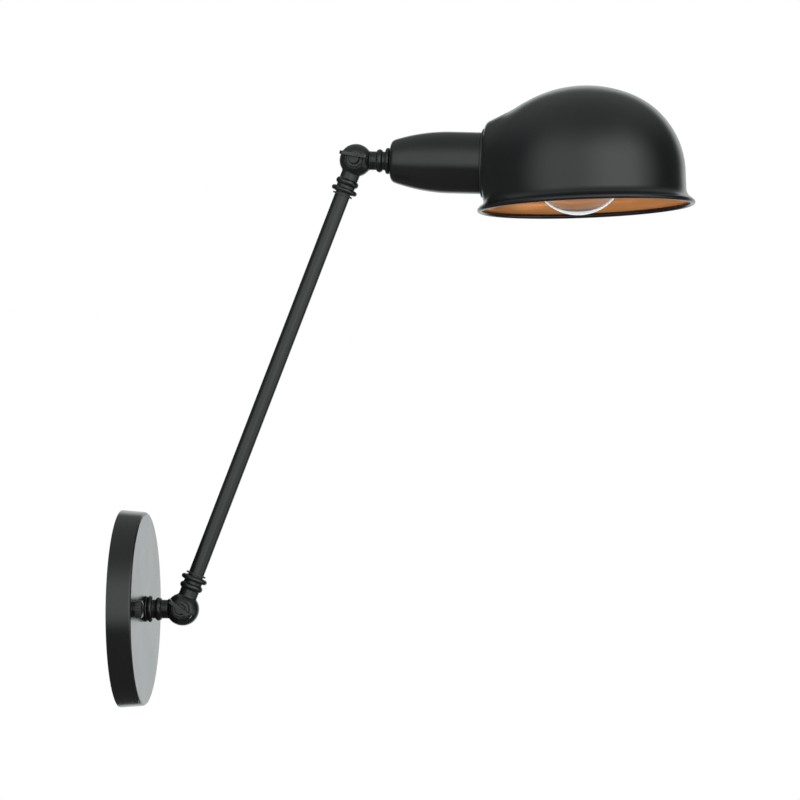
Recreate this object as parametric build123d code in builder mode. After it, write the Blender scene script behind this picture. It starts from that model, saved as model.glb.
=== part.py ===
from build123d import *
from math import atan2, cos, radians, sin, sqrt
import os

# Swing arm wall lamp: wall plate, stem with a ball knuckle, straight arm, second knuckle, cup and dome shade.
# Millimetres and degrees. X points out of the wall, Z up, and the wall is at X = 0. The origin is the centre
# of the wall plate's back. The arm's plane is Y = 0, and both knuckles turn about axes along Y.

os.makedirs("parts", exist_ok=True)

# Clearances between pieces
running_gap = 0.05
fit = 0.05
round_gap = 0.35

# Wall plate, a pressed pan with a slight draft
plate_radius = 60.0
plate_draft = 1.2
plate_depth = 14.8
plate_wall = 1.2
plate_edge = 1.6
plate_face_radius = plate_radius - plate_draft

# Crossbar on the wall, with its wall-screw slots and the studs that carry the plate
bar_length = 106.0
bar_width = 18.0
bar_thickness = 2.0
bar_corner = 4.0
slot_spacing = 64.0
slot_length = 12.0
slot_width = 4.6
cable_hole_radius = 5.5
stud_spacing = 92.0
stud_radius = 2.0
stud_nut_grip = 4.6
stud_hole_gap = 0.3
nut_radius = 5.25
nut_height = 6.0
nut_flange_height = 1.0
nut_flange_step = 0.5
nut_crown = 1.2
knurl_count = 30
knurl_size = 0.6

# Leads inside, run in pairs
lead_radius = 1.2
lead_spread = 1.3
lead_height = 3.0
lead_level = bar_thickness + lead_height

# Terminal block and earthing point on the crossbar
block_room = 3.1
block_width = 12.0
block_height = 18.0
block_depth = plate_depth - plate_wall - bar_thickness - block_room
block_y = -17.5
block_bevel = 0.6
terminal_spacing = 8.4
terminal_bore = 1.5
terminal_screw_radius = 1.6
terminal_screw_sink = 0.4
terminal_screw_length = bar_thickness + block_depth - terminal_screw_sink - lead_level - terminal_bore
driver_slot = 0.5
block_screw_radius = 1.2
block_screw_head = 2.2
block_screw_head_height = 1.2
earth_y = 17.0
earth_washer_radius = 4.6
earth_washer_thickness = 0.8
earth_head_radius = 3.6
earth_head_height = 2.4
earth_shank_radius = 2.0

# Arm tube and hollow threaded nipples, with their washer and nuts
tube_radius = 4.75
tube_wall = 1.0
nipple_radius = 4.9
nipple_wall = 1.6
nipple_bore = nipple_radius - nipple_wall
nipple_over_leads = 1.3
stem_washer_radius = nipple_radius + 2.6
stem_washer_thickness = 1.0
hex_nut_flats = 2 * nipple_radius + 4.2
hex_nut_thickness = 3.0
plate_inside = plate_depth - plate_wall
stem_washer_at = plate_inside - running_gap - stem_washer_thickness
nipple_back = lead_level + lead_radius + nipple_over_leads
lead_bend = 4.0

# Ball knuckles: half balls lapped on the arm's plane, each with a neck that has two beads
ball_radius = 10.0
ball_root = 1.6
lap_gap = 0.4
pocket_outer = ball_radius - 3.1
pocket_inner = 3.4
pocket_depth = ball_radius / 2
neck_wall = 0.8
neck_radius = max(nipple_radius, tube_radius) + neck_wall
neck_bore = 3.0
neck_end = ball_radius + 11.3
bead_one_at = ball_radius + 4.55
bead_one_half = 2.0
bead_one_height = 1.4
bead_two_at = ball_radius + 9.65
bead_two_half = 1.55
bead_two_height = 2.4
seat_start = ball_radius + 3.5
lead_start = ball_radius + 0.8
washer_inner = pocket_outer + 0.4
washer_outer = ball_radius - 0.7

# Wing screws, with their wings beside the screw's axis
screw_radius = 2.0
screw_reach = ball_radius - 2.6
spot_face_at = ball_radius - 2.2
spot_face_edge = 0.3
hub_radius = 4.9
hub_height = 2.0
hub_bevel = 0.4
boss_radius = 3.5
boss_taper = 0.8
boss_height = 2.8
wing_span = 17.4
wing_top = ball_radius + 9.2
wing_depth = 5.2
wing_dip = 1.4
wing_thickness = 2.0
wing_corner = 2.4
lower_wing_angle = -37.0
upper_wing_angle = -10.0
lower_wing_offset = 0.6
upper_wing_offset = 2.0

# Stem, arm and head
flange_thickness = 1.15
flange_radius = neck_radius + 2.3
flange_bevel = 0.5
stem_reach = plate_depth + running_gap + flange_thickness + neck_end
arm_length = 292.3
arm_angle = 69.2
collar_at = neck_end + 0.8
collar_thickness = 1.0
collar_radius = tube_radius + 1.45
head_droop = 1.5

# Socket cup, a spun bullet
cup_radius = 18.75
cup_length = 54.9
cup_wall = 1.0
cup_straight_length = 18.2
cup_curve_radius = 108.0
cup_nose_length = 3.0
cup_nose_flat = neck_radius + 2.9
cup_nose_bulge = (0.9, 1.35)
cup_end = neck_end + cup_length
cup_straight = cup_end - cup_straight_length
cup_nose_end = neck_end + cup_nose_length

# Clear A60 bulb with an E27 cap
bulb_radius = 30.0
bulb_length = 105.0
bulb_ahead = 58.9
bulb_centre = cup_end + bulb_ahead
bulb_glass_wall = 0.8
bulb_neck_radius = 12.6
bulb_neck_start = bulb_centre - 45.1
cap_radius = 13.1
cap_length = 22.5
cap_wall = 0.35
contact_radius = 4.6
contact_height = 1.3
insulator_height = 3.0
insulator_radius = 11.0
mount_height = 30.0
mount_radius = 2.6
wire_radius = 0.35
filament_radius = 0.3
filament_half_span = 13.0
filament_height = bulb_centre - 7.1
filament_rise = 5.0

# Lamp holder that carries the shade
holder_start = neck_end + 9.7
holder_length = 19.0
holder_split = holder_start + holder_length
holder_wall = 2.2
holder_radius = cup_radius - cup_wall - 0.45
holder_top_radius = holder_radius - 3.7
skirt_radius = cup_radius - 0.55
skirt_end = cup_end + 11.8
skirt_bore = cap_radius + 1.2
core_thickness = 7.5
thread_start = holder_split + 10.0
thread_length = 21.0
thread_wall = 0.6
terminal_size = 5.0
holder_terminal_spacing = 13.0
ring_gap = 0.8
ring_at = cup_end + ring_gap
ring_thickness = 1.3
ring_radius = skirt_radius + 2.75
ring_nut_thickness = 4.0
ring_nut_radius = skirt_radius + 2.7
ring_nut_notches = 8

# Shade: a spun dome with a side collar. Its heights are above the rim's plane
boss_face = ring_at + ring_thickness
shade_radius = 60.8
shade_along = boss_face + shade_radius + 1.8
shade_below = 24.6
shade_tilt = 4.0
shade_shoulder_radius = shade_radius - 8.8
shade_shoulder_height = 19.0
shade_crown_rise = 1.9
shade_height = shade_shoulder_height + shade_shoulder_radius + shade_crown_rise
shade_wall = 1.1
flare_start = 8.0
flare_radius = 6.6
rim_radius = shade_radius + 3.6
rim_bead = 1.5
boss_face_radius = ring_nut_radius + 3.35
boss_half_angle = 27.6
boss_length = 26.0
boss_edge = 2.6
boss_floor = 3.2
boss_inner_floor = 7.6

face_x = plate_depth
lower_pivot = Vector(stem_reach, 0, 0)
arm_direction = Vector(cos(radians(arm_angle)), 0, sin(radians(arm_angle)))
upper_pivot = lower_pivot + arm_direction * arm_length
tip_of_bulb = bulb_centre + bulb_radius - bulb_length


def seat_at(pivot, angle):
    """Profile plane of a member that leaves a pivot at an angle above level: its x runs along the member."""
    return Plane(origin=pivot, x_dir=(cos(radians(angle)), 0, sin(radians(angle))), z_dir=(0, -1, 0))


stem_seat = seat_at(lower_pivot, 180)
lower_seat = seat_at(lower_pivot, arm_angle)
upper_seat = seat_at(upper_pivot, arm_angle + 180)
head_seat = seat_at(upper_pivot, -head_droop)
wall_seat = seat_at(Vector(0, 0, 0), 0)


def long_axis(seat):
    """The line along a member."""
    return Axis(seat.origin, seat.x_dir)


def cross_plane(seat, along, aside=0.0, across=0.0):
    """Plane square to a member, at a distance along it, moved aside in its profile plane and across it."""
    origin = seat.origin + seat.x_dir * along + seat.y_dir * aside + seat.z_dir * across
    return Plane(origin=origin, x_dir=seat.y_dir, z_dir=seat.x_dir)


def keep(part, name):
    """Labels a finished piece and writes it."""
    part.label = name
    export_step(part, f"parts/{name}.step")


def turned(seat, *points):
    """A turned piece: a closed outline of straight lines, revolved about the member's axis."""
    with BuildPart() as piece:
        with BuildSketch(seat):
            with BuildLine():
                Polyline(*points, close=True)
            make_face()
        revolve(axis=long_axis(seat))
    return piece.part


def ring(seat, start, thickness, inner, outer, bevel=0.0):
    """A flat ring about the member's axis, with its outer edges bevelled."""
    end = start + thickness
    points = [(start, inner), (start, outer - bevel), (start + bevel, outer), (end - bevel, outer)]
    points += [(end, outer - bevel), (end, inner)]
    if bevel == 0:
        points = [(start, inner), (start, outer), (end, outer), (end, inner)]
    return turned(seat, *points)


def hex_nut(seat, start, bore):
    """A plain hexagon nut on a nipple."""
    with BuildPart() as nut:
        with BuildSketch(cross_plane(seat, start)):
            RegularPolygon(radius=hex_nut_flats / 2, side_count=6, major_radius=False)
            Circle(bore, mode=Mode.SUBTRACT)
        extrude(amount=hex_nut_thickness)
    return nut.part


def half_of(piece, side, lap):
    """The half of a piece that lies on one side of the lap, side -1 being the near half."""
    with BuildPart() as half:
        add(piece)
        split(bisect_by=Plane(origin=(0, lap, 0), x_dir=(1, 0, 0), z_dir=(0, side, 0)), keep=Keep.TOP)
    return half.part


def rooted_ball(seat):
    """A ball that runs into its neck through a cast fillet."""
    along = sqrt((ball_radius + ball_root) ** 2 - (neck_radius + ball_root) ** 2)
    share = ball_radius / (ball_radius + ball_root)
    touch = (along * share, (neck_radius + ball_root) * share)
    toward = Vector(-along, -neck_radius - ball_root).normalized() + Vector(0, -1)
    middle = Vector(along, neck_radius + ball_root) + toward.normalized() * ball_root
    with BuildPart() as ball:
        with BuildSketch(seat):
            with BuildLine():
                ThreePointArc((-ball_radius, 0), (0, ball_radius), touch)
                ThreePointArc(touch, (middle.X, middle.Y), (along, neck_radius))
                Polyline((along, neck_radius), (along, 0), (-ball_radius, 0))
            make_face()
        revolve(axis=long_axis(seat))
    return ball.part


def plain_ball(pivot, radius):
    """A ball about a pivot."""
    with BuildPart() as ball:
        with Locations(pivot):
            Sphere(radius)
    return ball.part


def bead(at, half, height):
    """Adds one bead of a neck to the open profile, drawn towards the ball: upright flanks, round crest."""
    flank = neck_radius + max(height - half, 0)
    crest = neck_radius + height
    Line((at + half, neck_radius), (at + half, flank + 0.01))
    ThreePointArc((at + half, flank + 0.01), (at, crest), (at - half, flank + 0.01))
    Line((at - half, flank + 0.01), (at - half, neck_radius))


spot_face_radius = hub_radius + 0.5


def knuckle(seat, side, seat_radius):
    """A cast half ball with its beaded neck, bored for the leads and counterbored for the tube or nipple."""
    own_half = half_of(rooted_ball(seat), side, side * lap_gap)
    other_half = half_of(plain_ball(seat.origin, ball_radius + round_gap), -side, side * lap_gap)
    lap_centre = seat.origin + Vector(0, side * lap_gap, 0)
    toward_pole = Plane(origin=lap_centre, x_dir=(1, 0, 0), z_dir=(0, side, 0))
    with BuildPart() as casting:
        with BuildSketch(seat):
            with BuildLine():
                Polyline((bead_one_at - bead_one_half, neck_radius), (0, neck_radius), (0, 0), (neck_end, 0),
                         (neck_end, neck_radius), (bead_two_at + bead_two_half, neck_radius))
                bead(bead_two_at, bead_two_half, bead_two_height)
                Line((bead_two_at - bead_two_half, neck_radius), (bead_one_at + bead_one_half, neck_radius))
                bead(bead_one_at, bead_one_half, bead_one_height)
            make_face()
        revolve(axis=long_axis(seat))
        add(other_half, mode=Mode.SUBTRACT)
        add(own_half)
        with BuildSketch(toward_pole):
            Circle(pocket_outer)
            Circle(pocket_inner, mode=Mode.SUBTRACT)
        extrude(amount=pocket_depth, mode=Mode.SUBTRACT)
        with BuildSketch(cross_plane(seat, pocket_inner + neck_bore / 2)):
            Circle(neck_bore)
        extrude(amount=neck_end, mode=Mode.SUBTRACT)
        with BuildSketch(cross_plane(seat, seat_start)):
            Circle(seat_radius + fit)
        extrude(amount=neck_end, mode=Mode.SUBTRACT)
        with BuildSketch(Plane(origin=seat.origin, x_dir=(1, 0, 0), z_dir=(0, side, 0))):
            Circle(screw_radius + running_gap)
        extrude(amount=ball_radius if side < 0 else screw_reach + 0.5, mode=Mode.SUBTRACT)
        if side < 0:
            spot_centre = seat.origin - Vector(0, spot_face_at, 0)
            with BuildSketch(Plane(origin=spot_centre, x_dir=(1, 0, 0), z_dir=(0, -1, 0))):
                Circle(spot_face_radius)
            extrude(amount=ball_radius, mode=Mode.SUBTRACT)
            past_face = -spot_face_at - fit
            rims = casting.edges().filter_by(lambda edge: edge.center(CenterOf.MASS).Y < past_face)
            fillet(rims, spot_face_edge)
    return casting.part


def wing_screw(pivot, angle, offset):
    """A wing screw along Y, head towards the near side, its wings at an angle above level and an offset."""
    hub_base = spot_face_at + running_gap
    hub_top = hub_base + hub_height
    boss_top = hub_top + boss_height
    half = wing_span / 2
    wing_foot = boss_radius * boss_taper
    axis_plane = Plane(origin=pivot, x_dir=(0, -1, 0), z_dir=(1, 0, 0))
    wing_plane = Plane(origin=pivot, x_dir=(cos(radians(angle)), 0, sin(radians(angle))),
                       z_dir=(sin(radians(angle)), 0, -cos(radians(angle))))
    with BuildPart() as screw:
        with BuildSketch(axis_plane):
            with BuildLine():
                Polyline((-screw_reach, 0), (-screw_reach, screw_radius), (hub_base, screw_radius),
                         (hub_base, hub_radius), (hub_top - hub_bevel, hub_radius),
                         (hub_top, hub_radius - hub_bevel), (hub_top, boss_radius),
                         (boss_top, wing_foot), (boss_top, 0), close=True)
            make_face()
        revolve(axis=Axis(pivot, (0, -1, 0)))
        with BuildSketch(wing_plane.offset(-offset - wing_thickness / 2)) as blade:
            with BuildLine():
                Polyline((-wing_foot, hub_top - hub_bevel), (-half, wing_top - wing_depth),
                         (-half, wing_top), (0, wing_top - wing_dip), (half, wing_top),
                         (half, wing_top - wing_depth), (wing_foot, hub_top - hub_bevel), close=True)
            make_face()
            fillet(blade.vertices().group_by(Axis.X)[0] + blade.vertices().group_by(Axis.X)[-1], wing_corner)
        extrude(amount=wing_thickness)
    return screw.part


# Wall plate
plate_bore = nipple_radius + 0.08
with BuildPart() as wall_plate:
    with BuildSketch(wall_seat):
        with BuildLine():
            Polyline((0, 0), (0, plate_radius), (face_x, plate_face_radius), (face_x, 0), close=True)
        make_face()
    revolve(axis=long_axis(wall_seat))
    fillet(wall_plate.edges().filter_by(GeomType.CIRCLE).sort_by(Axis.X)[-1], plate_edge)
    offset(amount=-plate_wall, openings=wall_plate.faces().sort_by(Axis.X)[0])
    with BuildSketch(cross_plane(wall_seat, 0)):
        Circle(plate_bore)
        with Locations((0, stud_spacing / 2), (0, -stud_spacing / 2)):
            Circle(stud_radius + stud_hole_gap)
    extrude(amount=plate_depth, mode=Mode.SUBTRACT)
keep(wall_plate.part, "wall_plate")

# Crossbar, with its slots along Y
bar_plane = Plane(origin=(0, 0, 0), x_dir=(0, 1, 0), z_dir=(1, 0, 0))
with BuildPart() as crossbar:
    with BuildSketch(bar_plane):
        RectangleRounded(bar_length, bar_width, bar_corner)
        Circle(cable_hole_radius, mode=Mode.SUBTRACT)
        with Locations((-slot_spacing / 2, 0), (slot_spacing / 2, 0)):
            SlotOverall(slot_length, slot_width, mode=Mode.SUBTRACT)
        with Locations((-stud_spacing / 2, 0), (stud_spacing / 2, 0)):
            Circle(stud_radius + fit, mode=Mode.SUBTRACT)
        with Locations((earth_y, 0)):
            Circle(earth_shank_radius + fit, mode=Mode.SUBTRACT)
        with Locations((block_y, 0)):
            Circle(block_screw_radius + fit, mode=Mode.SUBTRACT)
    extrude(amount=bar_thickness)
keep(crossbar.part, "crossbar")

# Studs and their knurled nuts
with BuildPart() as canopy_studs:
    with BuildSketch(bar_plane):
        with Locations((-stud_spacing / 2, 0), (stud_spacing / 2, 0)):
            Circle(stud_radius)
    extrude(amount=face_x + stud_nut_grip)
    chamfer(canopy_studs.edges().group_by(Axis.X)[-1], 0.4)
keep(canopy_studs.part, "canopy_studs")

with BuildPart() as canopy_nuts:
    for nut_y in (-stud_spacing / 2, stud_spacing / 2):
        nut_seat = seat_at(Vector(face_x, nut_y, 0), 0)
        nut_bore = stud_radius + fit
        nut_bore_end = stud_nut_grip + 0.3
        with BuildSketch(nut_seat):
            with BuildLine():
                Polyline((nut_height - nut_crown, nut_radius), (nut_flange_height + 0.2, nut_radius),
                         (nut_flange_height, nut_radius - nut_flange_step), (0, nut_radius - nut_flange_step),
                         (0, nut_bore), (nut_bore_end, nut_bore), (nut_bore_end, 0), (nut_height, 0))
                ThreePointArc((nut_height, 0), (nut_height - nut_crown * 0.3, nut_radius * 0.62),
                              (nut_height - nut_crown, nut_radius))
            make_face()
        revolve(axis=long_axis(nut_seat))
        with BuildSketch(cross_plane(nut_seat, nut_flange_height)):
            with PolarLocations(nut_radius + knurl_size * 0.3, knurl_count):
                Rectangle(knurl_size, knurl_size, rotation=45)
        extrude(amount=nut_height, mode=Mode.SUBTRACT)
keep(canopy_nuts.part, "canopy_nuts")

# Terminal block with its screws
block_plane = Plane(origin=(bar_thickness, block_y, 0), x_dir=(0, 1, 0), z_dir=(1, 0, 0))
terminal_spots = [(0, -terminal_spacing / 2), (0, terminal_spacing / 2)]
with BuildPart() as terminal_block:
    with BuildSketch(block_plane):
        Rectangle(block_width, block_height)
        Circle(block_screw_radius + fit, mode=Mode.SUBTRACT)
    extrude(amount=block_depth)
    chamfer(terminal_block.faces().sort_by(Axis.X)[-1].outer_wire().edges(), block_bevel)
    with BuildSketch(block_plane.offset(block_depth - terminal_screw_length - terminal_screw_sink)):
        with Locations(*terminal_spots):
            Circle(terminal_screw_radius + fit)
    extrude(amount=block_depth, mode=Mode.SUBTRACT)
    with BuildSketch(Plane(origin=(lead_level, block_y - block_width, 0), x_dir=(0, 0, 1), z_dir=(0, 1, 0))):
        with Locations((-terminal_spacing / 2, 0), (terminal_spacing / 2, 0)):
            Circle(terminal_bore)
    extrude(amount=block_width * 2, mode=Mode.SUBTRACT)
keep(terminal_block.part, "terminal_block")

with BuildPart() as terminal_screws:
    with BuildSketch(block_plane.offset(block_depth - terminal_screw_length - terminal_screw_sink)):
        with Locations(*terminal_spots):
            Circle(terminal_screw_radius)
    extrude(amount=terminal_screw_length)
    with BuildSketch(block_plane.offset(block_depth - terminal_screw_sink - driver_slot)):
        with Locations(*terminal_spots):
            Rectangle(terminal_screw_radius * 2.2, driver_slot)
    extrude(amount=2 * driver_slot, mode=Mode.SUBTRACT)
keep(terminal_screws.part, "terminal_screws")

with BuildPart() as block_screw:
    with BuildSketch(bar_plane):
        with Locations((block_y, 0)):
            Circle(block_screw_radius)
    extrude(amount=bar_thickness + block_depth)
    with BuildSketch(block_plane.offset(block_depth)):
        Circle(block_screw_head)
    extrude(amount=block_screw_head_height)
    with BuildSketch(block_plane.offset(block_depth + block_screw_head_height / 2)):
        Rectangle(block_screw_head * 2, driver_slot)
    extrude(amount=block_screw_head_height, mode=Mode.SUBTRACT)
keep(block_screw.part, "block_screw")

# Earthing point
earth_seat = seat_at(Vector(bar_thickness, earth_y, 0), 0)
earth_washer = ring(earth_seat, 0, earth_washer_thickness, earth_shank_radius + fit, earth_washer_radius)
keep(earth_washer, "earth_washer")
with BuildPart() as earth_screw:
    with BuildSketch(earth_seat):
        with BuildLine():
            top = earth_washer_thickness + earth_head_height
            Polyline((-bar_thickness, 0), (-bar_thickness, earth_shank_radius),
                     (earth_washer_thickness, earth_shank_radius),
                     (earth_washer_thickness, earth_head_radius), (top - 1, earth_head_radius),
                     (top, earth_head_radius - 1), (top, 0), close=True)
        make_face()
    revolve(axis=long_axis(earth_seat))
    with BuildSketch(cross_plane(earth_seat, top - 1)):
        Rectangle(earth_head_radius * 1.3, 0.9)
        Rectangle(0.9, earth_head_radius * 1.3)
    extrude(amount=2, mode=Mode.SUBTRACT)
keep(earth_screw.part, "earth_screw")

# Leads from the terminal block through the nipple into the stem
lead_end = stem_reach - lead_start
with BuildPart() as supply_leads:
    for level in (-1, 1):
        start = Vector(lead_level, block_y + block_width / 2 - 3, level * terminal_spacing / 2)
        clear = Vector(lead_level, block_y + block_width / 2 + 1.5, level * terminal_spacing / 2)
        corner = Vector(lead_level, 0, level * lead_spread)
        finish = Vector(lead_end, 0, level * lead_spread)
        with BuildLine():
            run = FilletPolyline(start, clear, corner, finish, radius=[lead_bend, lead_bend])
        with BuildSketch(Plane(origin=start, z_dir=(0, 1, 0))):
            Circle(lead_radius)
        sweep(path=run)
keep(supply_leads.part, "supply_leads")

# Stem: knuckle, flange, nipple, and the washer and nut behind the plate's face
keep(knuckle(stem_seat, 1, nipple_radius), "stem_knuckle")
nipple_hole = nipple_radius + fit
keep(ring(wall_seat, face_x + running_gap, flange_thickness, nipple_hole, flange_radius, flange_bevel),
     "stem_flange")
stem_nipple_end = stem_reach - seat_start - fit
stem_nipple = ring(wall_seat, nipple_back, stem_nipple_end - nipple_back, nipple_bore, nipple_radius, 0.4)
keep(stem_nipple, "stem_nipple")
keep(ring(wall_seat, stem_washer_at, stem_washer_thickness, nipple_hole, stem_washer_radius), "stem_washer")
keep(hex_nut(wall_seat, stem_washer_at - hex_nut_thickness, nipple_hole), "stem_nut")

# Arm: knuckles, collars, tube and leads
keep(knuckle(lower_seat, -1, tube_radius), "arm_lower_knuckle")
keep(knuckle(upper_seat, -1, tube_radius), "arm_upper_knuckle")
keep(ring(lower_seat, collar_at, collar_thickness, tube_radius + fit, collar_radius, 0.2), "arm_lower_collar")
keep(ring(upper_seat, collar_at, collar_thickness, tube_radius + fit, collar_radius, 0.2), "arm_upper_collar")
tube_length = arm_length - 2 * (seat_start + fit)
keep(ring(lower_seat, seat_start + fit, tube_length, tube_radius - tube_wall, tube_radius), "arm_tube")
with BuildPart() as arm_leads:
    with BuildSketch(cross_plane(lower_seat, lead_start)):
        with Locations((lead_spread, 0), (-lead_spread, 0)):
            Circle(lead_radius)
    extrude(amount=arm_length - 2 * lead_start)
keep(arm_leads.part, "arm_leads")

# Friction washers between the half balls
for washer_pivot, place in ((lower_pivot, "lower"), (upper_pivot, "upper")):
    washer_start = washer_pivot - Vector(0, lap_gap, 0)
    with BuildPart() as washer:
        with BuildSketch(Plane(origin=washer_start, x_dir=(1, 0, 0), z_dir=(0, 1, 0))):
            Circle(washer_outer)
            Circle(washer_inner, mode=Mode.SUBTRACT)
        extrude(amount=2 * lap_gap - running_gap)
    keep(washer.part, f"{place}_friction_washer")

# Wing screws
keep(wing_screw(lower_pivot, lower_wing_angle, lower_wing_offset), "lower_wing_screw")
keep(wing_screw(upper_pivot, upper_wing_angle, upper_wing_offset), "upper_wing_screw")

# Head: knuckle, cup and the nipple and nut that hold it
keep(knuckle(head_seat, 1, nipple_radius), "head_knuckle")


def cup_outline(inset):
    """The cup's outline at an inset: a flat nose, a corner and a long curve to the straight side."""
    radius = cup_radius - inset
    curve = cup_curve_radius - inset
    nose = neck_end + inset
    bend = cup_nose_end + inset * 0.6
    bend_radius = radius - curve + sqrt(curve ** 2 - (cup_straight - bend) ** 2)
    with BuildLine() as outline:
        Line((nose, 0), (nose, cup_nose_flat - inset))
        shoulder = (nose + cup_nose_bulge[0], bend_radius - cup_nose_bulge[1])
        ThreePointArc((nose, cup_nose_flat - inset), shoulder, (bend, bend_radius))
        halfway = (cup_straight - bend) / 2
        middle = (bend + halfway, radius - curve + sqrt(curve ** 2 - halfway ** 2))
        ThreePointArc((bend, bend_radius), middle, (cup_straight, radius))
        Polyline((cup_straight, radius), (cup_end, radius), (cup_end, 0), (nose, 0))
    return outline.line


with BuildPart() as socket_cup:
    with BuildSketch(head_seat):
        with BuildLine():
            add(cup_outline(0))
        make_face()
    revolve(axis=long_axis(head_seat))
    with BuildSketch(head_seat):
        with BuildLine():
            add(cup_outline(cup_wall))
        make_face()
    revolve(axis=long_axis(head_seat), mode=Mode.SUBTRACT)
    with BuildSketch(cross_plane(head_seat, neck_end)):
        Circle(nipple_radius + fit)
    extrude(amount=2 * cup_wall, mode=Mode.SUBTRACT)
keep(socket_cup.part, "socket_cup")

head_nipple_end = holder_start + 5.0
keep(ring(head_seat, seat_start + fit, head_nipple_end - seat_start - fit, nipple_bore, nipple_radius, 0.4),
     "head_nipple")
keep(hex_nut(head_seat, neck_end + cup_wall, nipple_radius + fit), "cup_nut")

# Lamp holder: cap, core, skirt, thread, contact, terminals and screws
cap_floor = holder_start + 6.0
cap_inside = holder_top_radius - holder_wall
keep(turned(head_seat, (holder_start, nipple_hole), (holder_start, holder_top_radius),
            (holder_split - 4, holder_radius - 0.8), (holder_split, holder_radius),
            (holder_split, holder_radius - holder_wall), (cap_floor + 3, cap_inside + 0.5),
            (cap_floor, cap_inside - 1.5), (cap_floor, nipple_hole)), "holder_cap")
core_end = holder_split + core_thickness
with BuildPart() as holder_core:
    with BuildSketch(cross_plane(head_seat, holder_split)):
        Circle(skirt_bore - fit)
    extrude(amount=core_thickness)
keep(holder_core.part, "holder_core")
keep(turned(head_seat, (holder_split, skirt_bore), (holder_split, holder_radius), (cup_end, holder_radius),
            (cup_end, skirt_radius), (skirt_end - 0.6, skirt_radius), (skirt_end, skirt_radius - 0.6),
            (skirt_end, skirt_bore)), "holder_skirt")
thread_outer = skirt_bore - fit
keep(ring(head_seat, thread_start, thread_length, thread_outer - thread_wall, thread_outer), "holder_thread")
with BuildPart() as holder_contact:
    with BuildSketch(cross_plane(head_seat, core_end)):
        Rectangle(5, 14)
    extrude(amount=0.5)
    with BuildSketch(cross_plane(head_seat, core_end)):
        Circle(contact_radius * 0.6)
    extrude(amount=tip_of_bulb - core_end)
keep(holder_contact.part, "holder_contact")
terminal_places = [(-holder_terminal_spacing / 2, 0), (holder_terminal_spacing / 2, 0)]
with BuildPart() as holder_terminals:
    with BuildSketch(cross_plane(head_seat, holder_split - terminal_size)):
        with Locations(*terminal_places):
            Rectangle(terminal_size, terminal_size)
            Circle(lead_radius + fit, mode=Mode.SUBTRACT)
    extrude(amount=terminal_size)
keep(holder_terminals.part, "holder_terminals")
with BuildPart() as holder_screws:
    across = terminal_size / 2
    with BuildSketch(Plane(origin=head_seat.origin + head_seat.x_dir * (holder_split - across)
                           + head_seat.z_dir * across, x_dir=head_seat.y_dir, z_dir=head_seat.z_dir)):
        with Locations(*terminal_places):
            Circle(terminal_screw_radius)
    extrude(amount=1.4)
keep(holder_screws.part, "holder_screws")

# Leads from the neck to the terminals
with BuildPart() as head_leads:
    for side in (-1, 1):
        stations = ((lead_start, lead_spread), (cap_floor + 0.5, lead_spread),
                    (holder_split - terminal_size - 0.8, holder_terminal_spacing / 2),
                    (holder_split - 1, holder_terminal_spacing / 2))
        points = [head_seat.origin + head_seat.x_dir * u + head_seat.y_dir * v * side for u, v in stations]
        with BuildLine():
            run = FilletPolyline(*points, radius=[2.4, 2.4])
        with BuildSketch(cross_plane(head_seat, lead_start, lead_spread * side)):
            Circle(lead_radius)
        sweep(path=run)
keep(head_leads.part, "head_leads")

# Ring on the holder's skirt, a little past the cup, and the nut that clamps the shade on it from inside
skirt_hole = skirt_radius + fit
keep(ring(head_seat, ring_at, ring_thickness, skirt_hole, ring_radius, 0.3), "shade_ring")
with BuildPart() as ring_nut:
    with BuildSketch(cross_plane(head_seat, boss_face + shade_wall)):
        Circle(ring_nut_radius)
        Circle(skirt_hole, mode=Mode.SUBTRACT)
        with PolarLocations(ring_nut_radius, ring_nut_notches):
            Rectangle(1.6, 4, mode=Mode.SUBTRACT)
    extrude(amount=ring_nut_thickness)
keep(ring_nut.part, "ring_nut")

# Shade: dome and collar as one shell, then the flare and rolled rim
rim_centre = upper_pivot + head_seat.x_dir * shade_along - head_seat.y_dir * shade_below
shade_plane = seat_at(rim_centre, shade_tilt - head_droop)
shade_axis = Axis(shade_plane.origin, shade_plane.y_dir)
shoulder_x = shade_radius - shade_shoulder_radius
top_rise = shade_height - shade_shoulder_height
crown_radius = (top_rise ** 2 + shoulder_x ** 2 - shade_shoulder_radius ** 2) / (2 * shade_crown_rise)


def dome(inset, floor):
    """The dome as a solid at an inset: crown arc, shoulder arc and straight wall down to a floor."""
    crown_centre = shade_height - crown_radius
    reach = sqrt(shoulder_x ** 2 + (shade_shoulder_height - crown_centre) ** 2)
    lean = (shoulder_x / reach, (shade_shoulder_height - crown_centre) / reach)
    crown = crown_radius - inset
    shoulder = shade_shoulder_radius - inset
    join = (lean[0] * crown, crown_centre + lean[1] * crown)
    lean_angle = atan2(*lean)
    crown_middle = (sin(lean_angle / 2) * crown, crown_centre + cos(lean_angle / 2) * crown)
    middle = (radians(90) - lean_angle) / 2
    shoulder_middle = (shoulder_x + cos(middle) * shoulder, shade_shoulder_height + sin(middle) * shoulder)
    wall = (shoulder_x + shoulder, shade_shoulder_height)
    with BuildPart() as solid:
        with BuildSketch(shade_plane):
            with BuildLine():
                ThreePointArc((0, crown_centre + crown), crown_middle, join)
                ThreePointArc(join, shoulder_middle, wall)
                Polyline(wall, (wall[0], floor), (0, floor), (0, crown_centre + crown))
            make_face()
        revolve(axis=shade_axis)
    return solid.part


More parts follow.
